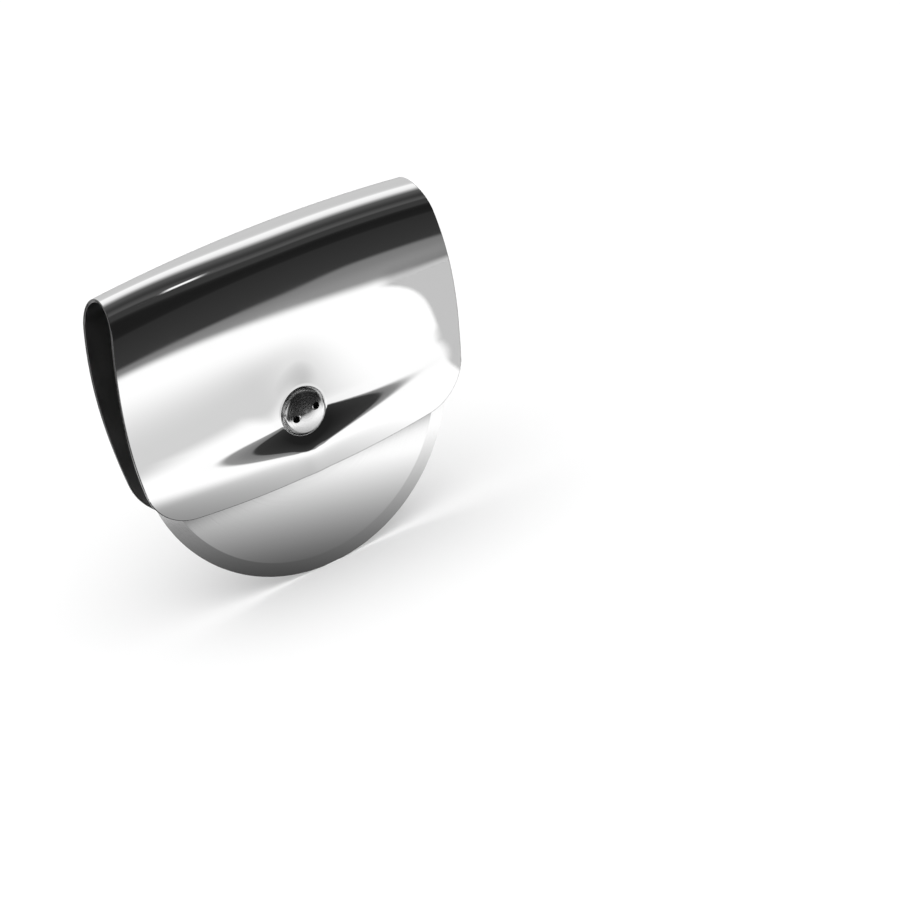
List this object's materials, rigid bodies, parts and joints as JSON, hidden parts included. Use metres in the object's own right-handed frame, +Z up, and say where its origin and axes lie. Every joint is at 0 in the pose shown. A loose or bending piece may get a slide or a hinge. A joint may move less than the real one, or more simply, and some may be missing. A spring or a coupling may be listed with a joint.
{
  "type": "pizza wheel",
  "caption": "Palm-held pizza wheel: a bevelled steel cutting disc that spins on an axle inside a folded, polished sheet-steel handle with an arched ridge.",
  "frame": {"origin": "where the cutting edge meets the board, under the axle and half way between the two walls of the handle", "axes": "+X along the cut and the handle's length, +Y along the axle towards the rear wall, +Z up from the board to the handle's ridge"},
  "size_m": [0.108, 0.0182, 0.1046],
  "materials": {
    "polished_sheet": "mirror-polished stainless steel sheet, 1 mm thick",
    "disc_steel": "polished stainless steel, ground bevel at the edge",
    "turned_steel": "turned and polished stainless steel",
    "bush_polymer": "plain acetal, as moulded",
    "washer_polymer": "plain nylon washer"
  },
  "bodies": {
    "handle": {"handle_shell": "polished_sheet", "axle_barrel_nut": "turned_steel", "axle_screw": "turned_steel", "front_thrust_washer": "washer_polymer", "rear_thrust_washer": "washer_polymer"},
    "wheel": {"cutting_disc": "disc_steel", "front_hub_bush": "bush_polymer", "rear_hub_bush": "bush_polymer"}
  },
  "joints": [
    {"name": "wheel_spin", "type": "hinge", "parent": "handle", "child": "wheel", "pos_m": [0, 0, 0.05], "axis": [0, 1, 0], "continuous": true}
  ]
}
